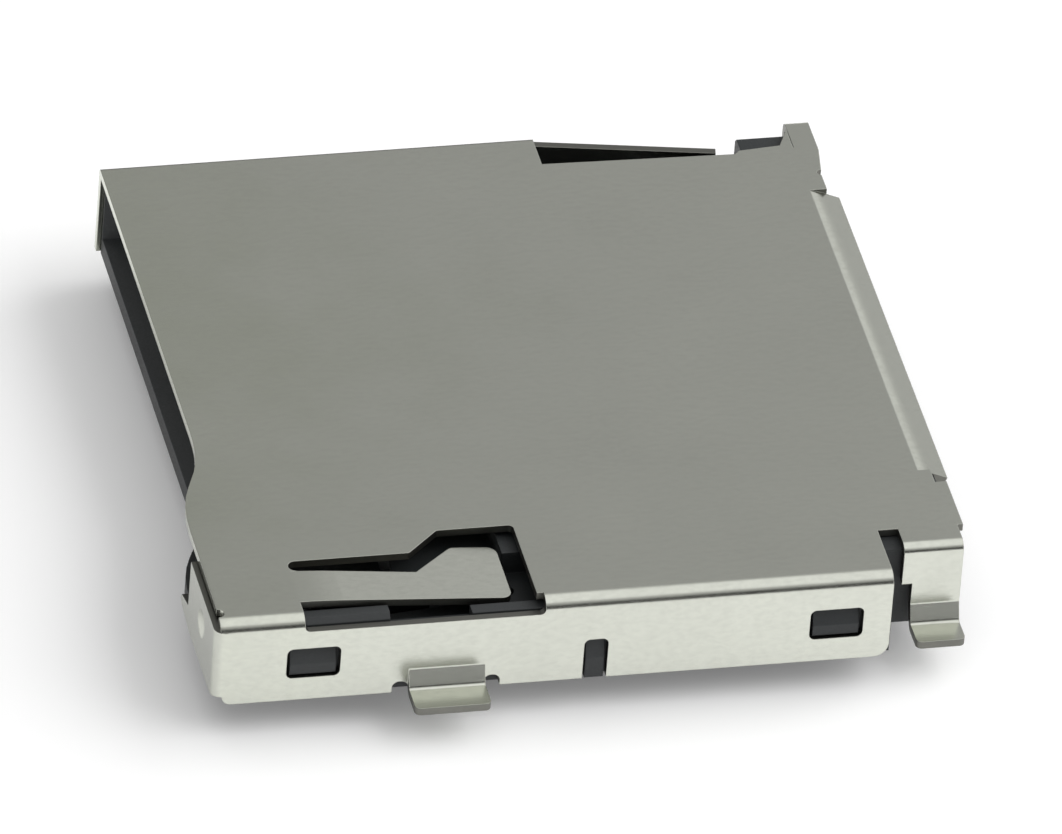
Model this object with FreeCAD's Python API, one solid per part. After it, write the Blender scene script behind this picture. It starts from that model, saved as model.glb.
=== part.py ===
import FreeCAD, Part
import math
import os

V = FreeCAD.Vector

# Push-push socket for a micro memory card, in millimetres.
# Origin: on the board plane, in the middle of the width. +X is the slider's side,
# +Y is the way the card goes in, +Z is up, away from the board.

# The card sets the width of the socket and the pitch of its contacts
card_width = 11.00

# Cover, folded from spring steel
sheet = 0.15
side_room = 3.71
cover_width = card_width + side_room
cover_height = 1.85
fold_radius = 0.27
far_fold = 0.08
corner_radius = 0.20
wall_gap_to_board = 0.02
cover_front = -7.00
mouth_edge = -6.27
wall_rear = 5.89
plate_rear = 7.53

# Housing, moulded in black plastic
housing_gap = 0.035
floor_thickness = 0.60
front_block = 0.71
rear_face = 7.40
rear_wall = 0.52
top_gap = 0.02

# Contacts
contact_count = 8
contact_pitch = card_width / 10
detect_inset = 0.795
contact_strip = 0.12
contact_width = 0.42
tail_width = 0.34
tail_reach = 0.65
slot_width = 0.52
slot_front = 0.99
slot_rear = 5.65

# Slider, spring and cam pin
travel = 4.0
running_gap = 0.04
slider_front = -6.10
slider_length = 5.65
slider_width = 1.86
arm_reach = 1.54
boss_slot_width = 0.85
boss_slot_rear = 1.27
boss_length = 3.00
spring_wire = 0.18
spring_turns = 16
spring_sides = 8
spring_steps = 12
pin_wire = 0.25
pin_fixed_y = -6.45
pin_free_y = -1.20
lane_offset = 0.50
lock_back = 0.38

# Board pegs
peg_diameter = 0.80
peg_height = 0.70
peg_y = -2.80
peg_inset = 4.135
peg_spacing = 8.00

# Places that follow from the sizes above
half = cover_width / 2
inner_half = half - sheet
plate_under = cover_height - sheet
plate_mid = cover_height - sheet / 2
housing_half = inner_half - housing_gap
housing_top = plate_under - top_gap
rear_wall_front = rear_face - rear_wall
floor_top = floor_thickness
right_wall = 0.25
slider_outer_x = housing_half - right_wall - running_gap
slider_inner_x = slider_outer_x - slider_width
slider_low = floor_top + running_gap
slider_top = plate_under - 0.57
groove_floor = slider_top - 0.31
arm_inner_x = slider_inner_x - arm_reach
arm_top = plate_under - 0.10
boss_slot_x = slider_inner_x - 0.02
pin_x = slider_outer_x - slider_width / 2
pin_level = slider_top + pin_wire / 2 + running_gap
spring_x = slider_inner_x - 0.82
spring_diameter = plate_under - floor_top - 0.10
spring_z = (floor_top + plate_under) / 2 - 0.02
peg_right_x = half - peg_inset
contact_first_x = contact_count * contact_pitch + detect_inset - half
far = 30.0


def box(x0, x1, y0, y1, z0, z1):
    """A block between two corners."""
    return Part.makeBox(x1 - x0, y1 - y0, z1 - z0, V(x0, y0, z0))


def face_of(points):
    """A flat face through points in order."""
    return Part.Face(Part.makePolygon(points + [points[0]]))


def plan_prism(points, z0, z1):
    """An outline drawn in plan, raised from z0 to z1."""
    return face_of([V(x, y, z0) for x, y in points]).extrude(V(0, 0, z1 - z0))


def side_prism(points, x0, x1):
    """An outline of (y, z) points, carried along X."""
    return face_of([V(x0, y, z) for y, z in points]).extrude(V(x1 - x0, 0, 0))


def front_prism(points, y0, y1):
    """An outline of (x, z) points, carried along Y."""
    return face_of([V(x, y0, z) for x, z in points]).extrude(V(0, y1 - y0, 0))


def joined(first, others):
    """One clean solid from pieces that meet."""
    return first.fuse(others).removeSplitter()


def rounded(shape, direction, radius, chosen=lambda edge: True):
    """Round the straight edges that run along a direction."""
    edges = []
    for edge in shape.Edges:
        if edge.Curve.TypeId != "Part::GeomLine":
            continue
        along = abs(edge.tangentAt(edge.FirstParameter).dot(direction))
        if along > 0.999 and chosen(edge):
            edges.append(edge)
    return shape.makeFillet(radius, edges)


def strip_side(points, offset, bend):
    """Edges of one side of a bent strip: straight runs joined by tangent arcs."""
    runs = []
    for a, b in zip(points, points[1:]):
        step = (b - a).normalize()
        runs.append((a, b, step, V(-step.y, step.x, 0)))
    marks = [points[0] + runs[0][3] * offset]
    arcs = []
    for (a, corner, d0, n0), (same, c, d1, n1) in zip(runs, runs[1:]):
        turn = math.atan2(d0.x * d1.y - d0.y * d1.x, d0.dot(d1))
        cut = bend * math.tan(abs(turn) / 2)
        side = 1 if turn > 0 else -1
        centre = corner - d0 * cut + n0 * (side * bend)
        radius = bend - side * offset
        outward = (corner - centre).normalize()
        marks.append(centre - n0 * (side * radius))
        arcs.append(centre + outward * radius)
        marks.append(centre - n1 * (side * radius))
    marks.append(points[-1] + runs[-1][3] * offset)
    return marks, arcs


def bent_strip(path, thickness, bend, place, carry):
    """A strip of even thickness bent along a flat path, as wide as the carry vector."""
    points = [V(u, v, 0) for u, v in path]
    edges = []
    ends = []
    for offset in (thickness / 2, -thickness / 2):
        marks, arcs = strip_side(points, offset, bend)
        marks = [place(m.x, m.y) for m in marks]
        arcs = [place(m.x, m.y) for m in arcs]
        for i in range(0, len(marks) - 1, 2):
            edges.append(Part.LineSegment(marks[i], marks[i + 1]).toShape())
        for i, middle in enumerate(arcs):
            edges.append(Part.Arc(marks[2 * i + 1], middle, marks[2 * i + 2]).toShape())
        ends.append((marks[0], marks[-1]))
    edges.append(Part.LineSegment(ends[0][0], ends[1][0]).toShape())
    edges.append(Part.LineSegment(ends[0][1], ends[1][1]).toShape())
    wire = Part.Wire(Part.__sortEdges__(edges))
    return Part.Face(wire).extrude(carry)


def round_rod(points, radius, bend):
    """A round wire through points, with a square bend at each corner."""
    pieces = []
    last = points[0]
    for i in range(1, len(points) - 1):
        d0 = (points[i] - points[i - 1]).normalize()
        d1 = (points[i + 1] - points[i]).normalize()
        start = points[i] - d0 * bend
        pieces.append(Part.makeCylinder(radius, (start - last).Length, last, d0))
        disc = Part.Face(Part.Wire(Part.makeCircle(radius, start, d0)))
        pieces.append(disc.revolve(start + d1 * bend, d0.cross(d1), 90))
        last = points[i] + d1 * bend
    run = points[-1] - last
    pieces.append(Part.makeCylinder(radius, run.Length, last, run))
    return pieces[0].fuse(pieces[1:])


# Cover
window_length = 1.02
window_high = cover_height - 0.67
window_low = window_high - 0.66
window_corner = 0.12
front_window_y = -5.10
rear_window_y = 4.85
notch_middle = 0.275
notch_width = 0.46
notch_top = cover_height - 0.95
tab_width = 1.45
tab_middle = -2.55
tab_root = 0.52
tab_bend_x = 0.16
tab_reach = 0.74
relief = 0.31
relief_top = 0.26
wall_corner = 0.28
finger_root = -5.30
finger_tip = -1.25
finger_outer_x = half - 0.555
finger_inner_x = finger_outer_x - 0.97
finger_head_x = finger_outer_x - 1.60
finger_head_front = -2.12
finger_neck = 0.12
finger_slot = 0.30
finger_bend = 12.0
finger_corner = 0.20
finger_rear_gap = 0.38
finger_drop = 0.27
side_opening_z = cover_height - 0.285
side_opening_width = 0.30
side_opening_extra = 0.13
flap_inner_x = half - 2.295
flap_wide_x = flap_inner_x - 0.61
flap_low = 0.20
flap_top = plate_under - 0.04
plate_front = cover_front + 0.11
corner_notch = 0.12
dimple_radius = 0.50
dimple_depth = 0.09
plate_curve_end = half - 2.955
plate_curve_start = plate_curve_end - 3.10
gap_rear = 6.28
gap_step = 0.20
gap_step_z = 1.0
rear_wall_x = half - 0.855
gap_inner_x = rear_wall_x - 0.60
rear_tab_end = 7.42
rear_tab_reach = 0.70
lip_start = 7.12
lip_end = plate_rear + 0.10
lip_drop = 0.22
lip_bend = 0.90
lip_left = -half + 2.325
lip_right = half - 3.235
lip_notch = 0.40
lip_notch_depth = 0.22
ear_slant = 0.13
leaf_start = 2.15
leaf_end = 5.66
leaf_angle = 10.6
leaf_high = cover_height - 0.09
leaf_low = leaf_high - 1.08
plate_inset_x = -half + 0.905
ear_front = 7.07
left_block_front = 6.10
left_tab_front = 6.45


def s_curve(start, end, pull=0.55):
    """A smooth step in plan from one point to another, level at both ends."""
    reach = (end.x - start.x) * pull
    curve = Part.BezierCurve()
    curve.setPoles([start, V(start.x + reach, start.y, 0), V(end.x - reach, end.y, 0), end])
    return curve.toShape()


def front_curve_cut(edge_y, block_y, start_x, end_x, stop_x, z0, z1):
    """What lies in front of an edge that steps forward through an S curve."""
    ahead = cover_front - far
    curve = s_curve(V(start_x, edge_y, 0), V(end_x, block_y, 0))
    corners = [V(end_x, block_y, 0), V(stop_x, block_y, 0), V(stop_x, ahead, 0)]
    corners += [V(-far, ahead, 0), V(-far, edge_y, 0), V(start_x, edge_y, 0)]
    edges = [curve] + [Part.LineSegment(a, b).toShape() for a, b in zip(corners, corners[1:])]
    face = Part.Face(Part.Wire(Part.__sortEdges__(edges)))
    face.translate(V(0, 0, z0))
    return face.extrude(V(0, 0, z1 - z0))


def near_top(edge, level):
    """Whether an edge lies above a level."""
    return edge.BoundBox.ZMin > level


def cover_pan():
    """The folded plate: top and two side walls, with rounded folds."""
    along_y = V(0, 1, 0)
    outer = box(-half, half, cover_front, plate_rear, wall_gap_to_board, cover_height)
    outer = rounded(outer, along_y, fold_radius, lambda e: near_top(e, plate_under) and e.BoundBox.XMin > 0)
    far_side = lambda e: near_top(e, plate_under) and e.BoundBox.XMax < -inner_half
    outer = rounded(outer, along_y, far_fold, far_side)
    inner = box(-inner_half, inner_half, cover_front - 1, plate_rear + 1, -1, plate_under)
    inner = rounded(inner, along_y, fold_radius - sheet, lambda e: near_top(e, 1.0) and e.BoundBox.XMin > 0)
    return outer.cut(inner)


def wall_window(middle, side):
    """A latch window with rounded corners through one side wall."""
    x0 = side * inner_half - 0.5
    hole = box(x0, x0 + 1, middle - window_length / 2, middle + window_length / 2, window_low, window_high)
    return rounded(hole, V(1, 0, 0), window_corner)


def wall_notch(side):
    """The open notch in the middle of a side wall."""
    x0 = side * inner_half - 0.5
    hole = box(x0, x0 + 1, notch_middle - notch_width / 2, notch_middle + notch_width / 2, -1, notch_top)
    return rounded(hole, V(1, 0, 0), window_corner, lambda e: e.BoundBox.ZMin > 0)


def tab_relief(side):
    """The wall cut away under a front tab, with a round relief at each end."""
    x0 = side * inner_half - 0.5
    y0 = tab_middle - tab_width / 2
    y1 = tab_middle + tab_width / 2
    cuts = [box(x0, x0 + 1, y0, y1, -1, tab_root)]
    for middle in (y0 - relief / 2 + 0.01, y1 + relief / 2 - 0.01):
        slot = box(x0, x0 + 1, middle - relief / 2, middle + relief / 2, -1, relief_top)
        cuts.append(rounded(slot, V(1, 0, 0), relief * 0.45, lambda e: e.BoundBox.ZMin > 0))
    return cuts


def side_tab(side, wall_x, root, y0, y1, reach, step):
    """A solder tab that leaves a wall, slopes out and lies flat on the board."""
    mid = wall_x - sheet / 2
    level = sheet / 2
    path = [(side * mid, root + 0.3), (side * mid, root)]
    path += [(side * (mid + step), level), (side * (wall_x + reach), level)]
    tab = bent_strip(path, sheet, 0.16, lambda u, v: V(u, y0, v), V(0, y1 - y0, 0))
    tip = wall_x + reach - 0.01
    return rounded(tab, V(0, 0, 1), 0.12, lambda e: abs(e.BoundBox.Center.x) > tip)


def spring_finger():
    """The tongue that keeps the cam pin in its groove, bent down in a long curve."""
    bend_y = finger_root + 0.4
    path = [(finger_root - 0.3, plate_mid), (bend_y, plate_mid)]
    path.append((finger_tip + 0.2, plate_mid - finger_drop))
    reach = half - finger_head_x
    strip = bent_strip(path, sheet, finger_bend, lambda u, v: V(finger_head_x - 0.1, u, v), V(reach, 0, 0))
    neck_y = finger_head_front - 0.8
    outline = [(finger_inner_x, finger_root - 0.3), (finger_outer_x, finger_root - 0.3)]
    outline += [(finger_outer_x, finger_tip), (finger_head_x, finger_tip)]
    outline.append((finger_head_x, finger_head_front))
    outline += [(finger_inner_x + finger_neck, neck_y), (finger_inner_x, finger_root)]
    plan = plan_prism(outline, 0, far)
    plan = rounded(plan, V(0, 0, 1), finger_corner, lambda e: e.BoundBox.YMin > finger_head_front - 0.1)
    return strip.common(plan)


def finger_window():
    """The opening round the spring finger, and the longer opening in the fold beside it."""
    slot_x = finger_inner_x - finger_slot
    head_x = finger_head_x - finger_slot
    rear = finger_tip + finger_rear_gap
    head_front = finger_head_front - 0.2
    side_x = half - side_opening_width
    slot_end = finger_slot / 2
    outline = [(slot_x, finger_root + slot_end), (slot_x, head_front - 0.65), (head_x, head_front)]
    outline += [(head_x, rear), (side_x + 0.01, rear), (side_x + 0.01, finger_root)]
    outline += [(finger_inner_x, finger_root), (finger_inner_x, finger_root + slot_end)]
    window = plan_prism(outline, side_opening_z, far)
    window = rounded(window, V(0, 0, 1), 0.1, lambda e: e.BoundBox.XMax < head_x + 0.01)
    end = Part.makeCylinder(slot_end, far, V(slot_x + slot_end, finger_root + slot_end, side_opening_z))
    side = box(side_x, half + 1, finger_root, rear + side_opening_extra, side_opening_z, far)
    side = rounded(side, V(1, 0, 0), 0.1, lambda e: e.BoundBox.ZMax < cover_height)
    return [window, end, side]


def front_flap():
    """The end plate in front of the slider, folded round from the side wall."""
    mid_x = half - sheet / 2
    mid_y = cover_front + sheet / 2
    path = [(flap_wide_x, mid_y), (mid_x, mid_y), (mid_x, cover_front + corner_radius + 0.05)]
    strip = bent_strip(path, sheet, corner_radius - sheet / 2, lambda u, v: V(u, v, flap_low),
                       V(0, 0, flap_top - flap_low))
    outline = [(flap_inner_x, flap_top + 1), (flap_inner_x, flap_low + 0.46)]
    outline += [(flap_wide_x + 0.06, flap_low + 0.32), (flap_wide_x, flap_low + 0.20)]
    outline += [(flap_wide_x + 0.14, flap_low + 0.12), (flap_inner_x + 0.2, flap_low)]
    outline += [(far, flap_low), (far, flap_top + 1)]
    flap = strip.common(front_prism(outline, cover_front - 1, cover_front + 1))
    low_y = cover_front - dimple_radius + dimple_depth
    return flap.cut(Part.makeSphere(dimple_radius, V(half - 1.17, low_y, flap_low + 0.86)))


def front_corner_cuts():
    """The plate and wall cleared at the front corner for the end plate's fold."""
    cuts = [box(half - fold_radius - 0.05, far, cover_front - 1, cover_front + 0.1, -1, far)]
    cuts.append(box(inner_half - 0.01, far, cover_front - 1, cover_front + corner_radius, -1, flap_top))
    notch_x = half - fold_radius - corner_notch
    cuts.append(Part.makeCylinder(corner_notch, far, V(notch_x, plate_front, 1.0)))
    return cuts


def corner_round(side, y, radius, way):
    """A lower corner of a side wall, rounded off; way is 1 at its rear and -1 at its front."""
    x0 = side * inner_half - 0.5
    z0 = wall_gap_to_board
    near, beyond = sorted((y - way * radius, y + way * 0.1))
    block = box(x0, x0 + 1, near, beyond, z0 - 0.1, z0 + radius)
    return block.cut(Part.makeCylinder(radius, 1.2, V(x0 - 0.1, y - way * radius, z0 + radius), V(1, 0, 0)))


def rear_lip():
    """The rear edge of the plate, turned down a little as a stiffener."""
    path = [(lip_start - 0.3, plate_mid), (lip_start, plate_mid), (lip_end, plate_mid - lip_drop)]
    return bent_strip(path, sheet, lip_bend, lambda u, v: V(lip_left, u, v), V(lip_right - lip_left, 0, 0))


def rear_cuts():
    """The plate cleared for the lip, its two notches and the rear corners."""
    y0 = plate_rear - lip_notch_depth
    cuts = [box(lip_left, lip_right, lip_start - 0.05, far, -1, far)]
    cuts.append(box(lip_right - 0.01, lip_right + lip_notch, y0, far, -1, far))
    slant_x = lip_left - 0.45
    slant_y = plate_rear - ear_slant
    outline = [(slant_x - 0.90, plate_rear + 0.01), (slant_x, slant_y), (lip_left + 0.01, slant_y)]
    outline += [(lip_left + 0.01, far), (slant_x - 0.90, far)]
    cuts.append(plan_prism(outline, -1, far))
    cuts.append(Part.makeCylinder(0.08, far, V(slant_x - 0.1, slant_y + 0.01, 1.0)))
    return cuts


def side_leaf():
    """The leaf cut free from the left wall, bent in towards the card's edge."""
    leaf = box(-half, -inner_half, leaf_start - 0.02, leaf_end, leaf_low, leaf_high)
    leaf.rotate(V(-half, leaf_start, 0), V(0, 0, 1), -leaf_angle)
    return leaf


def left_rear_corner():
    """The ear of the plate behind the left block, folded down into a tab."""
    mid = half - sheet / 2
    path = [(plate_inset_x + 0.05, plate_mid), (-mid, plate_mid), (-mid, 0.6)]
    ear = bent_strip(path, sheet, far_fold + 0.01, lambda u, v: V(u, ear_front, v),
                     V(0, plate_rear - ear_front, 0))
    wall = box(-half, -inner_half, left_tab_front, plate_rear, tab_root + 0.1, 1.0)
    tab = side_tab(-1, half, tab_root, left_tab_front, plate_rear - 0.02, tab_reach - 0.1, tab_bend_x)
    return joined(ear, [wall, tab])


def right_rear_corner():
    """The narrower wall behind the gap on the slider's side, with its tab."""
    mid = rear_wall_x - sheet / 2
    path = [(gap_inner_x - 0.05, plate_mid), (mid, plate_mid), (mid, 0.62)]
    fold = bent_strip(path, sheet, corner_radius - sheet / 2, lambda u, v: V(u, gap_rear, v),
                      V(0, rear_tab_end - gap_rear, 0))
    tab_front = gap_rear + gap_step
    fold = fold.cut(box(-far, far, gap_rear - 1, tab_front, -1, gap_step_z))
    tab = side_tab(1, rear_wall_x, tab_root, tab_front, rear_tab_end, rear_tab_reach, tab_bend_x)
    return joined(fold, [tab])


def shell_cover():
    """The steel cover: one folded sheet."""
    pan = cover_pan()
    cuts = [front_curve_cut(mouth_edge, plate_front, plate_curve_start, plate_curve_end,
                            half - fold_radius, -1, far)]
    cuts += front_corner_cuts()
    cuts.append(corner_round(1, wall_rear, wall_corner, 1))
    cuts.append(corner_round(1, cover_front + corner_radius, flap_low - wall_gap_to_board, -1))
    cuts += [wall_window(front_window_y, 1), wall_window(rear_window_y, 1)]
    cuts += [wall_window(front_window_y, -1), wall_notch(1), wall_notch(-1)]
    cuts += tab_relief(1) + tab_relief(-1)
    cuts += finger_window()
    # Slider's side: behind the main wall the sheet is cut through and set inwards
    cuts.append(box(gap_inner_x, far, wall_rear, far, -1, far))
    # Far side: plate edge set in over the leaf, wall gone behind its start
    outline = [(-far, leaf_start), (plate_inset_x - 0.03, leaf_start)]
    outline.append((plate_inset_x + 0.08, left_block_front - 0.2))
    outline.append((plate_inset_x - 0.02, left_block_front - 0.1))
    outline += [(plate_inset_x - 0.10, ear_front - 0.25), (plate_inset_x - 0.50, ear_front - 0.06)]
    outline += [(plate_inset_x - 0.65, ear_front), (-far, ear_front)]
    cuts.append(plan_prism(outline, -1, far))
    cuts.append(box(-far, plate_inset_x, ear_front - 0.01, far, -1, far))
    cuts += rear_cuts()
    pan = pan.cut(cuts)
    adds = [side_tab(1, half, tab_root, tab_middle - tab_width / 2, tab_middle + tab_width / 2,
                     tab_reach, tab_bend_x)]
    adds.append(side_tab(-1, half, tab_root, tab_middle - tab_width / 2, tab_middle + tab_width / 2,
                         tab_reach, tab_bend_x))
    adds += [spring_finger(), front_flap(), rear_lip(), side_leaf()]
    adds += [left_rear_corner(), right_rear_corner()]
    return joined(pan, adds)


# Housing
base_front = -6.185
lead_in_low = 0.36
lead_in_length = 0.55
edge_chamfer = 0.10
foot_chamfer = 0.14
block_front = cover_front + sheet + 0.02
base_curve_end = half - 2.855
base_curve_start = base_curve_end - 2.90
left_wall = 0.42
left_wall_front = -5.60
left_wall_rear = 2.00
left_block_rear = 7.05
left_block_x = -half + 0.935
spring_window_x0 = spring_x - 0.61
spring_window_x1 = spring_x + 0.73
spring_window_y0 = 3.20
spring_window_y1 = 6.70
rib_x = spring_x - 1.05
rib_width = 0.27
channel_rear = 3.75
square_hole_x0 = -half + 0.375
square_hole_x1 = square_hole_x0 + 0.81
square_hole_y0 = 1.24
square_hole_y1 = 2.27
pocket_width = 0.38
pocket_low = 0.54
pocket_high = 1.20
pocket_depth = 0.42
wide_pocket_width = 0.82
tail_notch = 0.20
middle_rear_top = cover_height - 0.47
nub_reach = 0.14
seat_gap = 0.01
base_level = 0.42
contact_apex_y = 2.75
contact_apex_z = plate_under - 0.48
contact_tip_y = 1.75
contact_tip_z = contact_apex_z - 0.36
spring_seat_pin = 0.50
pin_hole_gap = 0.03
blade_low = 0.80
blade_high = plate_under - 0.40
wall_dip = cover_height - 0.47
ledge_front = finger_root - 0.3
ledge_length = 1.35
ledge_low = slider_top + 0.20
dip_slope = 0.30
dip_rear = 0.85
step_y = wall_rear + 0.06
seat_pin_reach = 0.90
detect_x = contact_first_x - contact_count * contact_pitch


def tail_x(i):
    """Middle of a contact, counted from the slider's side."""
    return contact_first_x - contact_pitch * i


def contact_path(reach):
    """Side view of a contact from the tail's tip to the arm's tip."""
    level = contact_strip / 2
    foot = rear_face + reach
    path = [(foot, level), (rear_face + 0.24, level), (rear_face - 0.04, base_level)]
    path += [(slot_rear - 0.1, base_level), (contact_apex_y, contact_apex_z)]
    path.append((contact_tip_y, contact_tip_z))
    return path


def contact_body(x, grow=0.0):
    """A spring contact: soldering tail, root held in the floor, and arm."""
    width = contact_width + 2 * grow
    solid = bent_strip(contact_path(tail_reach), contact_strip + 2 * grow, 0.16,
                       lambda u, v: V(x - width / 2, u, v), V(width, 0, 0))
    tail = tail_width / 2 + grow
    root = contact_width / 2 + grow
    end = contact_width / 2 * 0.62 + grow
    step = rear_face - 0.35 + grow
    outline = [(x - tail, far), (x + tail, far), (x + tail, step), (x + root, step)]
    outline += [(x + root, slot_rear - 0.5), (x + end, contact_tip_y - 1)]
    outline += [(x - end, contact_tip_y - 1), (x - root, slot_rear - 0.5)]
    outline += [(x - root, step), (x - tail, step)]
    return solid.common(plan_prism(outline, -1, 3))


def detect_contact(grow=0.0):
    """The card-detect contact: same tail, and an upright blade beside the leaf."""
    width = tail_width + 2 * grow
    level = contact_strip / 2
    path = [(rear_face + tail_reach, level), (rear_face + 0.24, level)]
    path += [(rear_face - 0.04, base_level), (left_block_front + 0.2, base_level)]
    base = bent_strip(path, contact_strip + 2 * grow, 0.16,
                      lambda u, v: V(detect_x - width / 2, u, v), V(width, 0, 0))
    low = base_level - contact_strip / 2 - grow
    x0 = detect_x - 0.46
    foot = box(x0 - grow, detect_x, left_block_front + 0.25 - grow, left_block_front + 0.7 + grow,
               low, low + contact_strip + 2 * grow)
    blade = box(x0 - grow, x0 + contact_strip + grow, left_block_front - 0.55 - grow,
                left_block_front + 0.7 + grow, low, blade_high + grow)
    blade = blade.cut(box(-far, far, -far, left_block_front + 0.1 - grow, -1, blade_low - grow))
    return joined(base, [foot, blade])


def latch_nub(middle, side):
    """A wedge that the cover's window snaps over."""
    y0 = middle - window_length / 2 + 0.07
    y1 = middle + window_length / 2 - 0.07
    z0 = window_low + 0.05
    z1 = window_high - 0.05
    outline = [(side * (housing_half - 0.1), z0), (side * (housing_half + nub_reach), z0)]
    outline += [(side * (housing_half + nub_reach), z0 + 0.22), (side * (housing_half + 0.02), z1)]
    outline += [(side * (housing_half - 0.1), z1)]
    return front_prism(outline, y0, y1)


def middle_nub(side):
    """The rib that fills the cover's open notch."""
    y0 = notch_middle - notch_width / 2 + 0.05
    y1 = notch_middle + notch_width / 2 - 0.05
    outline = [(side * (housing_half - 0.1), 0.0), (side * (housing_half + nub_reach), 0.0)]
    outline += [(side * (housing_half + nub_reach), 0.45), (side * (housing_half + 0.04), notch_top - 0.05)]
    outline += [(side * (housing_half - 0.1), notch_top - 0.05)]
    return front_prism(outline, y0, y1)


def peg(x):
    """A locating peg with a chamfered, dished tip."""
    r = peg_diameter / 2
    solid = Part.makeCylinder(r, peg_height + 0.1, V(x, peg_y, -peg_height))
    solid = solid.makeChamfer(0.1, [e for e in solid.Edges if abs(e.BoundBox.ZMax + peg_height) < 1e-6])
    dish = Part.makeSphere(r * 2, V(x, peg_y, -peg_height - r * 1.88))
    return solid.cut(dish)


def housing_floor():
    """The floor with its stepped front edge and lead-in slope."""
    floor = box(-housing_half, housing_half, block_front, rear_face, 0, floor_top)
    cuts = [front_curve_cut(base_front, block_front, base_curve_start, base_curve_end,
                            base_curve_end + 0.3, -1, far)]
    slope = [(base_front - 1, lead_in_low), (base_front, lead_in_low)]
    slope += [(base_front + lead_in_length, floor_top + 0.01), (base_front - 1, floor_top + 0.01)]
    cuts.append(side_prism(slope, -far, base_curve_end))
    cuts.append(box(rear_wall_x - sheet - housing_gap, far, step_y, far, -1, far))
    cuts.append(box(-far, -inner_half + 0.5, left_block_rear, far, -1, far))
    return floor.cut(cuts)


def housing_walls():
    """Everything that stands on the floor."""
    inner = housing_half - right_wall
    wall_x = rear_wall_x - sheet - housing_gap
    block_x = slider_inner_x
    left_wall_x = -housing_half + left_wall
    outline = [(-housing_half, base_front), (-housing_half + 0.07, base_front)]
    outline += [(left_wall_x, left_wall_front), (left_wall_x, left_wall_rear)]
    outline.append((-housing_half, left_wall_rear))
    walls = [plan_prism(outline, 0, housing_top)]
    walls.append(box(-housing_half, left_block_x, left_block_front, left_block_rear, 0, housing_top))
    walls.append(box(-inner_half + 0.5, wall_x, rear_wall_front, rear_face, 0, housing_top))
    walls.append(box(inner, housing_half, block_front, channel_rear + 0.1, 0, side_opening_z + 0.02))
    walls.append(box(finger_outer_x + 0.06, housing_half, ledge_front, finger_root + ledge_length + 0.3,
                     ledge_low, housing_top))
    walls.append(box(block_x, housing_half, channel_rear, step_y, 0, housing_top))
    walls.append(box(block_x, wall_x, channel_rear, rear_face, 0, housing_top))
    walls.append(box(rib_x, rib_x + rib_width, channel_rear, rear_wall_front + 0.1, 0, housing_top))
    walls.append(box(base_curve_end, housing_half, block_front, block_front + front_block,
                     0, pin_level - pin_wire / 2 - running_gap))
    return walls


def housing_cuts():
    """Slots, windows, pockets and seats in the housing."""
    cuts = []
    through = floor_top + 0.1
    boss = box(boss_slot_x, boss_slot_x + boss_slot_width, slider_front, boss_slot_rear, -1, through)
    cuts.append(rounded(boss, V(0, 0, 1), 0.2, lambda e: e.BoundBox.YMin > 0))
    cuts.append(box(spring_window_x0, spring_window_x1, spring_window_y0, spring_window_y1, -1, through))
    cuts.append(box(square_hole_x0, square_hole_x1, square_hole_y0, square_hole_y1, -1, through))
    for i in range(contact_count):
        x = tail_x(i)
        cuts.append(box(x - slot_width / 2, x + slot_width / 2, slot_front, slot_rear, -1, through))
        cuts.append(box(x - pocket_width / 2, x + pocket_width / 2, rear_face - pocket_depth, far,
                        pocket_low, pocket_high))
        cuts.append(contact_body(x, seat_gap))
    for i in range(contact_count + 1):
        x = tail_x(i)
        notch = tail_width / 2 + 0.02
        cuts.append(box(x - notch, x + notch, rear_face - tail_notch, far, -1, base_level + 0.07))
    cuts.append(box(detect_x - 0.25, detect_x - 0.25 + wide_pocket_width, rear_face - pocket_depth / 2, far,
                    pocket_low, pocket_high + 0.08))
    cuts.append(detect_contact(seat_gap))
    # The rear wall is lower under the cover's turned-down lip
    cuts.append(box(lip_left, lip_right, rear_face - 0.38, far, middle_rear_top, far))
    # The slider's side wall dips under the spring finger
    dip_front = finger_root + ledge_length
    dip = [(dip_front, far), (dip_front + dip_slope, wall_dip), (finger_tip - dip_rear, wall_dip),
           (finger_tip - dip_rear + dip_slope, far)]
    cuts.append(side_prism(dip, housing_half - right_wall - 0.1, far))
    # Chamfers that clear the cover's folds, and one along the front of the slider's side
    top = housing_top + 0.01
    for side in (1, -1):
        edge = [(side * (housing_half - edge_chamfer - 0.01), top), (side * (housing_half + 0.01), top)]
        edge.append((side * (housing_half + 0.01), top - edge_chamfer - 0.02))
        cuts.append(front_prism(edge, -far, far))
    foot_y = block_front - 0.01
    foot = [(foot_y, -0.01), (foot_y + foot_chamfer, -0.01), (foot_y, foot_chamfer)]
    cuts.append(side_prism(foot, base_curve_end, far))
    # Hole that holds the fixed leg of the cam pin
    hole = pin_wire / 2 + pin_hole_gap
    cuts.append(Part.makeCylinder(hole, 1.0, V(pin_x, pin_fixed_y, floor_top)))
    return cuts


def housing_base():
    """The moulded housing: one piece."""
    body = joined(housing_floor(), housing_walls())
    body = body.cut(housing_cuts())
    pin_y = rear_wall_front - seat_pin_reach
    pin = Part.makeCylinder(spring_seat_pin / 2, 1.0, V(spring_x, pin_y, spring_z), V(0, 1, 0))
    nubs = [latch_nub(front_window_y, 1), latch_nub(rear_window_y, 1), latch_nub(front_window_y, -1)]
    nubs += [middle_nub(1), middle_nub(-1)]
    pegs = [peg(peg_right_x), peg(peg_right_x - peg_spacing)]
    return joined(body, [pin] + nubs + pegs)


# Slider
arm_front = -3.20
arm_slope = 0.60
groove_step = 0.05
seat_depth = 0.72


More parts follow.
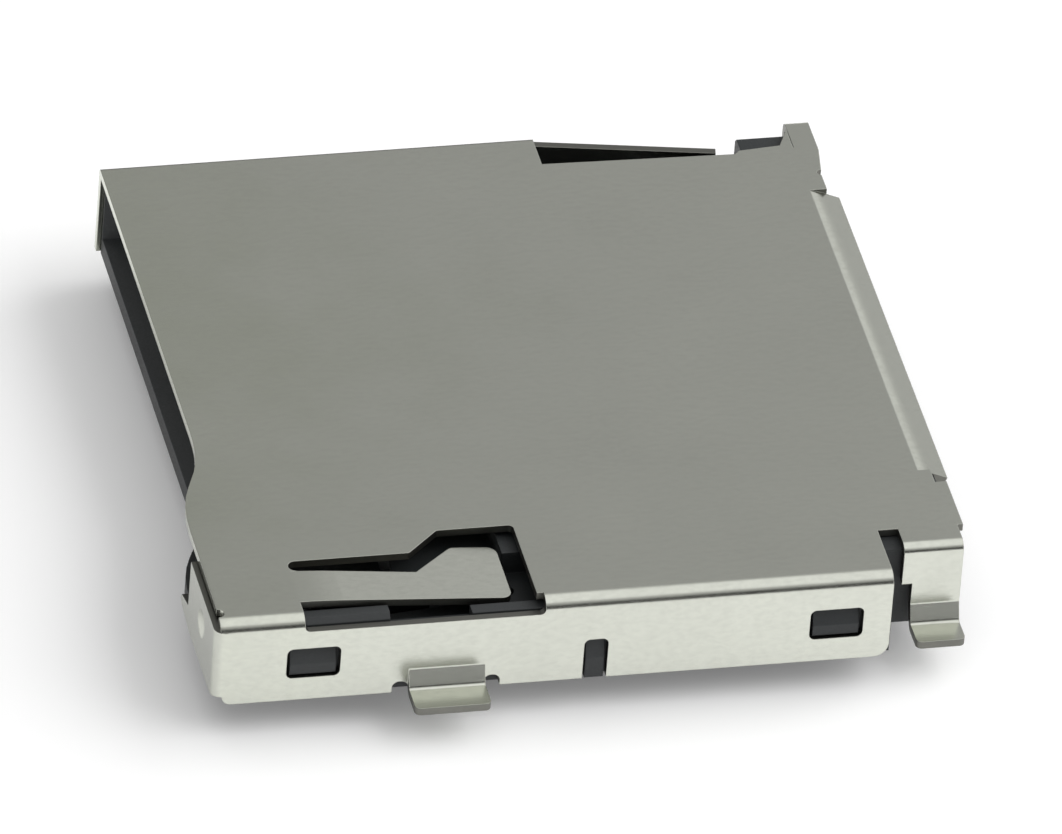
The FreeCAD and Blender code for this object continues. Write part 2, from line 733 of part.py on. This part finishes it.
def lane(start, end, width, floor):
    """A groove of even width with round ends between two points in plan."""
    run = end - start
    side = V(-run.y, run.x, 0).normalize() * (width / 2)
    corners = [start + side, end + side, end - side, start - side]
    depth = far - floor
    groove = face_of([V(p.x, p.y, floor) for p in corners]).extrude(V(0, 0, depth))
    ends = [Part.makeCylinder(width / 2, depth, V(p.x, p.y, floor)) for p in (start, end)]
    return groove.fuse(ends)


def heart_groove():
    """The looped cam track: out along one lane, into the lock notch, home by the other."""
    width = pin_wire + 2 * running_gap + 0.02
    start = V(pin_x, pin_free_y, 0)
    turn_out = V(pin_x - lane_offset, pin_free_y - travel, 0)
    turn_home = V(pin_x + lane_offset, pin_free_y - travel, 0)
    lock = V(pin_x, pin_free_y - travel + lock_back, 0)
    return [lane(start, turn_out, width, groove_floor),
            lane(turn_out, lock, width, groove_floor - groove_step),
            lane(lock, turn_home, width, groove_floor - groove_step),
            lane(turn_home, start, width, groove_floor - 2 * groove_step)]


def slider():
    """The moulded slider with its cam track, card shoulder and spring seat."""
    rear = slider_front + slider_length
    arm_outer = slider_inner_x + 0.4
    body = box(slider_inner_x, slider_outer_x, slider_front, rear, slider_low, slider_top)
    arm_outline = [(arm_inner_x, rear), (arm_inner_x, arm_front + arm_slope)]
    arm_outline += [(arm_inner_x + arm_slope, arm_front), (arm_outer, arm_front), (arm_outer, rear)]
    arm = plan_prism(arm_outline, slider_low, slider_top + 0.1)
    seat = box(arm_inner_x, arm_outer, rear - seat_depth, rear, slider_low, arm_top)
    boss_x0 = boss_slot_x + running_gap
    boss_x1 = boss_slot_x + boss_slot_width - running_gap
    boss = box(boss_x0, boss_x1, slider_front + running_gap, slider_front + running_gap + boss_length,
               0.08, slider_low + 0.1)
    pin_at = V(spring_x, rear - 0.1, spring_z)
    pin = Part.makeCylinder(spring_seat_pin / 2, seat_pin_reach + 0.1, pin_at, V(0, 1, 0))
    solid = joined(body, [arm, seat, boss, pin])
    return solid.cut(heart_groove())


def coil_spring():
    """The return spring between the slider's seat and the rear wall."""
    front = slider_front + slider_length + spring_wire / 2 + 0.01
    rear = rear_wall_front - spring_wire / 2 - 0.01
    mean = (spring_diameter - spring_wire) / 2
    count = spring_turns * spring_steps
    rings = []
    for i in range(count + 1):
        turn = 2 * math.pi * i / spring_steps
        outward = V(math.cos(turn), 0, math.sin(turn))
        centre = V(spring_x, front + (rear - front) * i / count, spring_z) + outward * mean
        ring = []
        for k in range(spring_sides):
            angle = 2 * math.pi * k / spring_sides
            across = outward * (spring_wire / 2 * math.cos(angle))
            ring.append(centre + across + V(0, spring_wire / 2 * math.sin(angle), 0))
        rings.append(Part.makePolygon(ring + [ring[0]]))
    return Part.makeLoft(rings, True, True)


def cam_pin():
    """The bent wire that follows the cam track."""
    tip = groove_floor + running_gap
    points = [V(pin_x, pin_fixed_y, floor_top + 0.05), V(pin_x, pin_fixed_y, pin_level)]
    points += [V(pin_x, pin_free_y, pin_level), V(pin_x, pin_free_y, tip)]
    return round_rod(points, pin_wire / 2, pin_wire / 2 + 0.05)


def save(name, shape):
    """Write one named piece, and say its volume."""
    shape.exportStep("parts/" + name + ".step")
    print(name, "solids", len(shape.Solids), "valid", shape.isValid(), "volume", round(shape.Volume, 4))


def main():
    os.makedirs("parts", exist_ok=True)
    save("shell_cover", shell_cover())
    save("housing_base", housing_base())
    for i in range(contact_count):
        save("contact_" + str(i + 1), contact_body(tail_x(i)))
    save("contact_detect", detect_contact())
    save("slider", slider())
    save("coil_spring", coil_spring())
    save("cam_pin", cam_pin())


main()
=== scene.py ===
"""Looks for the memory card socket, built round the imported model. Metres."""

import math

import bpy
from mathutils import Matrix, Vector
from mathutils.bvhtree import BVHTree


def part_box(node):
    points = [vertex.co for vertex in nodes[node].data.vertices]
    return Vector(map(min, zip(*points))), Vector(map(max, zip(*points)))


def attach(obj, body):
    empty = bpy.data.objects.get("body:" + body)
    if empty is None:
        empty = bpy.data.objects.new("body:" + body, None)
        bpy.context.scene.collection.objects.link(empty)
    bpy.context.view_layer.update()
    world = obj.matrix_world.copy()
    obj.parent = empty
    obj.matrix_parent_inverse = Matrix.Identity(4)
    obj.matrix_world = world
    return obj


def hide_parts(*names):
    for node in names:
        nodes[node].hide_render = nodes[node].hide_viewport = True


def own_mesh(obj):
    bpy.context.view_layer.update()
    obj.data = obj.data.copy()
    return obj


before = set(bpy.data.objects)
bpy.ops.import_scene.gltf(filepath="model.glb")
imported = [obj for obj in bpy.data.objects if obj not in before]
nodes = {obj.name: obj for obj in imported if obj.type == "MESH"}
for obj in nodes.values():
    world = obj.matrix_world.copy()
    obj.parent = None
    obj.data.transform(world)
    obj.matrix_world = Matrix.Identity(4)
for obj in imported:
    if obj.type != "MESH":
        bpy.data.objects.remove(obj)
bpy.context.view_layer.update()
MM = 0.001

# The photograph's frame, in pixels, and its camera, in millimetres
PHOTO_WIDTH = 1062
FOCAL_PX = 8735.11
CAMERA_AT = Vector((329.73, -86.95, 244.40))
RIGHT = Vector((0.197995, 0.978553, 0.056855))
DOWN = Vector((0.569082, -0.067531, -0.819503))
AHEAD = Vector((-0.798088, 0.194612, -0.570247))
# The unit's middle in the photograph from the frame's middle, and how much larger it is shown
UNIT_MIDDLE_PX = (136.5, 128.5)
ZOOM = 2.55
SENSOR = 36.0
NEAR, FAR = 0.01, 20.0

# The folded front flap lies forward of the rest of the cover, and the steel is painted darker there:
# painted shade on the flap
FLAP_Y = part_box("shell_cover")[0].y + 0.06 * MM
FLAP_BLEND = 0.12 * MM

# The warm film on the steel: the middle of its width, its reach from the mouth, its ragged edge
FILM_MIDDLE_X = -2 * MM
FILM_FULL_Y, FILM_NONE_Y = -4 * MM, 6 * MM
FILM_RAGGED = 6 * MM

# The cover's sheet, and how far back from its front the edge over the mouth lies, which is left out
# of the painted shade on the cut edges
SHEET = 0.15 * MM
MOUTH_EDGE_REACH = 1.5 * MM

# The return spring
SPRING_WIRE = 0.18 * MM
SPRING_TURNS = 16
SPRING_STEPS = 28
CLOSED_TURNS = 1.0

# The floor, just under the lowest piece, and the lift that makes it white to the camera
FLOOR_HALF = 1.5
FLOOR_DROP = 0.02 * MM
FLOOR_GREY = 0.90
FLOOR_LIFT = 0.15
LAMP_AIM = Vector((0, 0, 0.001))


# Node helpers
class Tree:
    """A material's or world's nodes, added and joined with few words."""

    def __init__(self, tree):
        tree.nodes.clear()
        self.tree = tree

    def add(self, kind, inputs=None, **settings):
        node = self.tree.nodes.new(kind)
        for key, value in settings.items():
            setattr(node, key, value)
        for key, value in (inputs or {}).items():
            self.put(node.inputs[key], value)
        return node

    def put(self, socket, value):
        if isinstance(value, bpy.types.NodeSocket):
            self.tree.links.new(value, socket)
        else:
            socket.default_value = value

    def noise(self, place, scale, detail=3.0, rough=0.5, stretch=(1, 1, 1), turn=0.0):
        """Noise with scale in features per millimetre."""
        at = self.add("ShaderNodeMapping", {"Vector": place, "Rotation": (0, 0, turn),
                                            "Scale": [1000 * scale * s for s in stretch]})
        out = self.add("ShaderNodeTexNoise", {"Vector": at.outputs[0], "Scale": 1.0, "Detail": detail,
                                              "Roughness": rough})
        return out.outputs["Fac"]

    def ramp(self, value, low, high, out_low=0.0, out_high=1.0):
        node = self.add("ShaderNodeMapRange", {"Value": value, "From Min": low, "From Max": high,
                                               "To Min": out_low, "To Max": out_high},
                        interpolation_type="SMOOTHSTEP")
        return node.outputs[0]

    def math(self, kind, a, b=0.0):
        return self.add("ShaderNodeMath", {0: a, 1: b}, operation=kind).outputs[0]

    def mix(self, amount, a, b):
        node = self.add("ShaderNodeMix", data_type="RGBA")
        self.put(node.inputs[0], amount)
        self.put(node.inputs[6], a)
        self.put(node.inputs[7], b)
        return node.outputs[2]


def colour(r, g, b):
    return (r, g, b, 1.0)


def new_material(name):
    material = bpy.data.materials.new(name)
    material.use_nodes = True
    tree = Tree(material.node_tree)
    place = tree.add("ShaderNodeTexCoord").outputs["Object"]
    return material, tree, place


def finish_material(tree, base, rough, height, depth, edge, constants):
    """Principled surface with a bump and softened edges. Depth and edge are in metres."""
    soft = tree.add("ShaderNodeBevel", {"Radius": edge}, samples=6)
    bump = tree.add("ShaderNodeBump", {"Height": height, "Distance": depth, "Strength": 1.0,
                                       "Normal": soft.outputs[0]})
    shader = tree.add("ShaderNodeBsdfPrincipled", {"Base Color": base, "Roughness": rough,
                                                   "Normal": bump.outputs[0]})
    for key, value in constants.items():
        shader.inputs[key].default_value = value
    tree.add("ShaderNodeOutputMaterial", {"Surface": shader.outputs[0]})


def darker(tone, share):
    return colour(*[share * c for c in tone])


def steel(name, tone, warm, rough):
    """Satin rolled sheet: fine grain, soft cloudy patches, a warmer film towards the mouth, and
    painted shade darkening the front flap.
    """
    material, tree, place = new_material(name)
    grain = tree.noise(place, 11.0, 4.0, 0.65, (1.0, 0.45, 1.0))
    pits = tree.noise(place, 24.0, 2.0, 0.5)
    patches = tree.noise(place, 0.45, 4.0, 0.6)
    along = tree.add("ShaderNodeSeparateXYZ", {0: place}).outputs
    aside = tree.math("ABSOLUTE", tree.math("ADD", along[0], -FILM_MIDDLE_X))
    away = tree.math("ADD", along[1], tree.math("MULTIPLY", aside, 0.6))
    away = tree.math("ADD", away, tree.math("MULTIPLY", patches, FILM_RAGGED))
    film = tree.ramp(away, FILM_FULL_Y, FILM_NONE_Y, 1.0, 0.0)
    base = tree.mix(film, colour(*tone), colour(*warm))
    base = tree.mix(tree.ramp(patches, 0.35, 0.70, 0.0, 0.30), base, darker(tone, 0.88))
    # Painted shade: the front flap's sheet is darkened to 0.84 of the steel's tone
    flap_painted_shade = tree.ramp(along[1], FLAP_Y, FLAP_Y + FLAP_BLEND, 1.0, 0.0)
    base = tree.mix(flap_painted_shade, base, darker(tone, 0.84))
    base = tree.mix(tree.ramp(grain, 0.35, 0.70, 0.0, 0.20), base, darker(tone, 0.66))
    roughness = tree.ramp(tree.math("ADD", grain, patches), 0.6, 1.4, rough - 0.03, rough + 0.03)
    height = tree.math("ADD", grain, tree.math("MULTIPLY", pits, 0.5))
    finish_material(tree, base, roughness, height, 0.45e-6, 0.02e-3, {"Metallic": 1.0})
    return material


def plastic(name, dark, pale, rough=0.52):
    """Moulded glass-filled plastic: flow marks, a fine spark-eroded skin."""
    material, tree, place = new_material(name)
    flow = tree.noise(place, 0.22, 4.0, 0.6, (1.0, 0.6, 1.0), 0.3)
    fibres = tree.noise(place, 7.0, 3.0, 0.6, (1.0, 0.25, 1.0), 0.9)
    skin = tree.noise(place, 22.0, 2.0, 0.5)
    base = tree.mix(tree.ramp(flow, 0.35, 0.70), colour(*dark), colour(*pale))
    base = tree.mix(tree.ramp(fibres, 0.62, 0.80, 0.0, 0.30), base, colour(*[2.2 * c for c in pale]))
    roughness = tree.ramp(tree.math("ADD", flow, skin), 0.7, 1.3, rough - 0.06, rough + 0.10)
    height = tree.math("ADD", skin, tree.math("MULTIPLY", fibres, 0.6))
    finish_material(tree, base, roughness, height, 2.0e-6, 0.03e-3, {"Specular IOR Level": 0.5})
    return material


def plating(name, tone, shade, rough):
    """Plated strip or drawn wire: soft cloudy tone and faint drawing lines."""
    material, tree, place = new_material(name)
    cloud = tree.noise(place, 1.6, 3.0, 0.6)
    lines = tree.noise(place, 12.0, 2.0, 0.5, (1.0, 0.12, 1.0))
    base = tree.mix(tree.ramp(cloud, 0.3, 0.72), colour(*tone), colour(*shade))
    roughness = tree.ramp(cloud, 0.3, 0.7, rough - 0.05, rough + 0.10)
    height = tree.math("ADD", lines, cloud)
    finish_material(tree, base, roughness, height, 0.8e-6, 0.02e-3, {"Metallic": 1.0})
    return material


STEEL = steel("steel_satin", (0.683, 0.698, 0.627), (0.629, 0.653, 0.556), 0.235)
# Cut edges: rougher steel as real sheared metal, with its colour painted dark (0.20) as painted shade
SHEARED_PAINTED_DARK = steel("steel_sheared_painted_shade", (0.20, 0.20, 0.18), (0.18, 0.18, 0.16), 0.38)
HOUSING = plastic("plastic_housing", (0.019, 0.022, 0.0235), (0.032, 0.035, 0.036))
SLIDER = plastic("plastic_slider", (0.016, 0.019, 0.020), (0.028, 0.031, 0.032), 0.45)
TIN = plating("tin_plate", (0.70, 0.69, 0.64), (0.60, 0.59, 0.54), 0.34)
WIRE = plating("spring_wire", (0.72, 0.70, 0.63), (0.56, 0.54, 0.47), 0.26)


def material_for(name):
    if name.startswith("contact"):
        return TIN
    return {"shell_cover": STEEL, "housing_base": HOUSING, "slider": SLIDER,
            "coil_spring": WIRE, "cam_pin": WIRE}[name]


for name, node in nodes.items():
    node.data.materials.clear()
    node.data.materials.append(material_for(name))


def shade_sheared_edges(node):
    """The narrow faces the punch left: a ray into them runs further than the sheet is thick.

    They get a rougher steel, with its colour painted dark as painted shade; the edge over the mouth
    keeps the plain satin steel."""
    mesh = node.data
    mesh.materials.append(SHEARED_PAINTED_DARK)
    points = [v.co for v in mesh.vertices]
    mouth_edge_to = min(p.y for p in points) + MOUTH_EDGE_REACH
    shape = BVHTree.FromPolygons(points, [list(f.vertices) for f in mesh.polygons])
    for face in mesh.polygons:
        start = face.center - face.normal * (0.01 * SHEET)
        reach = shape.ray_cast(start, -face.normal)[3]
        at_mouth_edge = face.center.y < mouth_edge_to and face.normal.y < -0.5
        if (reach is None or reach > 1.25 * SHEET) and not at_mouth_edge:
            face.material_index = 1


shade_sheared_edges(nodes["shell_cover"])


# The return spring, smooth and with its end coils closed
def helix_point(turn, centre, front, rear, radius):
    """A point of the spring's line: tight end coils, even pitch between them."""
    tight = SPRING_WIRE * 1.04
    if turn < CLOSED_TURNS:
        along = front + tight * turn
    elif turn > SPRING_TURNS - CLOSED_TURNS:
        along = rear - tight * (SPRING_TURNS - turn)
    else:
        share = (turn - CLOSED_TURNS) / (SPRING_TURNS - 2 * CLOSED_TURNS)
        ends = tight * CLOSED_TURNS
        along = front + ends + share * (rear - front - 2 * tight * CLOSED_TURNS)
    angle = 2 * math.pi * turn
    return Vector((centre.x + radius * math.cos(angle), along, centre.z + radius * math.sin(angle)))


def smooth_spring():
    low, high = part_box("coil_spring")
    centre = (low + high) / 2
    radius = (high.x - low.x - SPRING_WIRE) / 2
    front, rear = low.y + SPRING_WIRE / 2, high.y - SPRING_WIRE / 2
    curve = bpy.data.curves.new("return_spring_line", "CURVE")
    curve.dimensions = "3D"
    line = curve.splines.new("POLY")
    count = SPRING_TURNS * SPRING_STEPS
    line.points.add(count)
    for i in range(count + 1):
        line.points[i].co = (*helix_point(i / SPRING_STEPS, centre, front, rear, radius), 1.0)
    curve.bevel_depth = SPRING_WIRE / 2
    curve.bevel_resolution = 3
    curve.use_fill_caps = True
    carrier = bpy.data.objects.new("return_spring_line", curve)
    bpy.context.scene.collection.objects.link(carrier)
    smooth = carrier.evaluated_get(bpy.context.evaluated_depsgraph_get())
    mesh = bpy.data.meshes.new_from_object(smooth)
    bpy.data.objects.remove(carrier)
    mesh.shade_smooth()
    mesh.materials.clear()
    mesh.materials.append(WIRE)
    piece = bpy.data.objects.new("return_spring", mesh)
    bpy.context.scene.collection.objects.link(piece)
    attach(piece, "housing")
    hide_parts("coil_spring")
    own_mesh(piece)


smooth_spring()


# Floor, world and lamps
def make_floor():
    """A pale floor, white to the camera and in reflections, and clear from below."""
    level = min(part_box(n)[0].z for n in nodes) - FLOOR_DROP
    mesh = bpy.data.meshes.new("floor")
    s = FLOOR_HALF
    corners = [(-s, -s, level), (s, -s, level), (s, s, level), (-s, s, level)]
    mesh.from_pydata(corners, [], [(0, 1, 2, 3)])
    floor = bpy.data.objects.new("floor", mesh)
    bpy.context.scene.collection.objects.link(floor)
    material = bpy.data.materials.new("floor_white")
    material.use_nodes = True
    tree = Tree(material.node_tree)
    lit = tree.add("ShaderNodeBsdfDiffuse", {"Color": colour(FLOOR_GREY, FLOOR_GREY, FLOOR_GREY)})
    ray = tree.add("ShaderNodeLightPath").outputs
    seen = tree.math("MAXIMUM", ray["Is Camera Ray"], ray["Is Glossy Ray"])
    seen = tree.math("MAXIMUM", seen, ray["Is Transmission Ray"])
    lift = tree.add("ShaderNodeEmission", {"Color": colour(1, 1, 1),
                                           "Strength": tree.math("MULTIPLY", seen, FLOOR_LIFT)})
    white = tree.add("ShaderNodeAddShader", {0: lit.outputs[0], 1: lift.outputs[0]})
    bare = tree.add("ShaderNodeBsdfTransparent")
    back = tree.add("ShaderNodeNewGeometry").outputs["Backfacing"]
    both = tree.add("ShaderNodeMixShader", {0: back, 1: white.outputs[0], 2: bare.outputs[0]})
    tree.add("ShaderNodeOutputMaterial", {"Surface": both.outputs[0]})
    mesh.materials.append(material)


def bands(tree, value, stops):
    """Grey levels against a height from -1 to 1, joined smoothly."""
    share = tree.math("ADD", tree.math("MULTIPLY", value, 0.5), 0.5)
    node = tree.add("ShaderNodeValToRGB", {0: share})
    node.color_ramp.interpolation = "EASE"
    elements = node.color_ramp.elements
    elements.remove(elements[1])
    elements[0].position = (stops[0][0] + 1) / 2
    elements[0].color = colour(*[stops[0][1]] * 3)
    for height, level in stops[1:]:
        elements.new((height + 1) / 2).color = colour(level, level, level)
    return node.outputs[0]


def make_world():
    """The room by direction, where x points to the camera's side, y to the part's rear and z up.

    It is grey in soft bands by height, brighter behind, with a black card beside the camera."""
    world = bpy.data.worlds.new("studio")
    bpy.context.scene.world = world
    world.use_nodes = True
    tree = Tree(world.node_tree)
    place = tree.add("ShaderNodeTexCoord").outputs["Generated"]
    x, y, z = tree.add("ShaderNodeSeparateXYZ", {0: place}).outputs
    low = [(-0.05, 0.85), (0.03, 0.50)]
    far_side = bands(tree, z, low + [(0.40, 0.41), (0.58, 0.325), (0.78, 0.42), (0.95, 0.55)])
    near_side = bands(tree, z, low + [(0.40, 0.38), (0.55, 0.35), (0.70, 0.53), (0.95, 0.57)])
    level = tree.mix(tree.ramp(x, -0.15, 0.40), far_side, near_side)
    card = tree.math("MULTIPLY", tree.ramp(x, 0.30, 0.60), tree.ramp(z, 0.34, 0.54, 1.0, 0.0))
    card = tree.math("MULTIPLY", card, tree.ramp(y, -0.08, 0.10))
    card = tree.math("MULTIPLY", card, tree.ramp(y, 0.36, 0.54, 1.0, 0.0))
    level = tree.mix(card, level, colour(0.01, 0.01, 0.01))
    front = tree.ramp(y, -0.75, 0.10, 0.70, 1.0)
    rear = tree.ramp(y, 0.23, 0.36, 0.0, 1.25)
    rear = tree.math("MULTIPLY", rear, tree.ramp(z, 0.30, 0.46))
    strength = tree.mix(tree.ramp(z, 0.62, 0.85), tree.math("ADD", front, rear), colour(1, 1, 1))
    background = tree.add("ShaderNodeBackground", {"Color": level, "Strength": strength})
    tree.add("ShaderNodeOutputWorld", {"Surface": background.outputs[0]})


def add_lamp(name, at, size, power):
    lamp = bpy.data.lights.new(name, "AREA")
    lamp.shape = "RECTANGLE"
    lamp.size, lamp.size_y = size
    lamp.energy = power
    holder = bpy.data.objects.new(name, lamp)
    holder.location = at
    holder.rotation_mode = "QUATERNION"
    holder.rotation_quaternion = (LAMP_AIM - at).to_track_quat("-Z", "Y")
    bpy.context.scene.collection.objects.link(holder)
    return holder


def make_camera():
    x, y = UNIT_MIDDLE_PX
    ahead = (RIGHT * x + DOWN * y + AHEAD * FOCAL_PX).normalized()
    right = (RIGHT - ahead * RIGHT.dot(ahead)).normalized()
    up = right.cross(ahead)
    data = bpy.data.cameras.new("camera")
    data.sensor_fit = "HORIZONTAL"
    data.sensor_width = SENSOR
    data.lens = FOCAL_PX * ZOOM * data.sensor_width / PHOTO_WIDTH
    data.clip_start, data.clip_end = NEAR, FAR
    camera = bpy.data.objects.new("camera", data)
    turn = Matrix((right, up, -ahead)).transposed()
    camera.matrix_world = Matrix.Translation(CAMERA_AT * MM) @ turn.to_4x4()
    bpy.context.scene.collection.objects.link(camera)
    bpy.context.scene.camera = camera


make_floor()
make_world()
add_lamp("lamp_top", Vector((0.02, 0.08, 0.80)), (1.2, 1.2), 2.1)
add_lamp("lamp_back", Vector((0.10, 0.64, 0.60)), (1.1, 0.8), 5.4).visible_glossy = False
make_camera()
bpy.context.scene.view_settings.view_transform = "Standard"
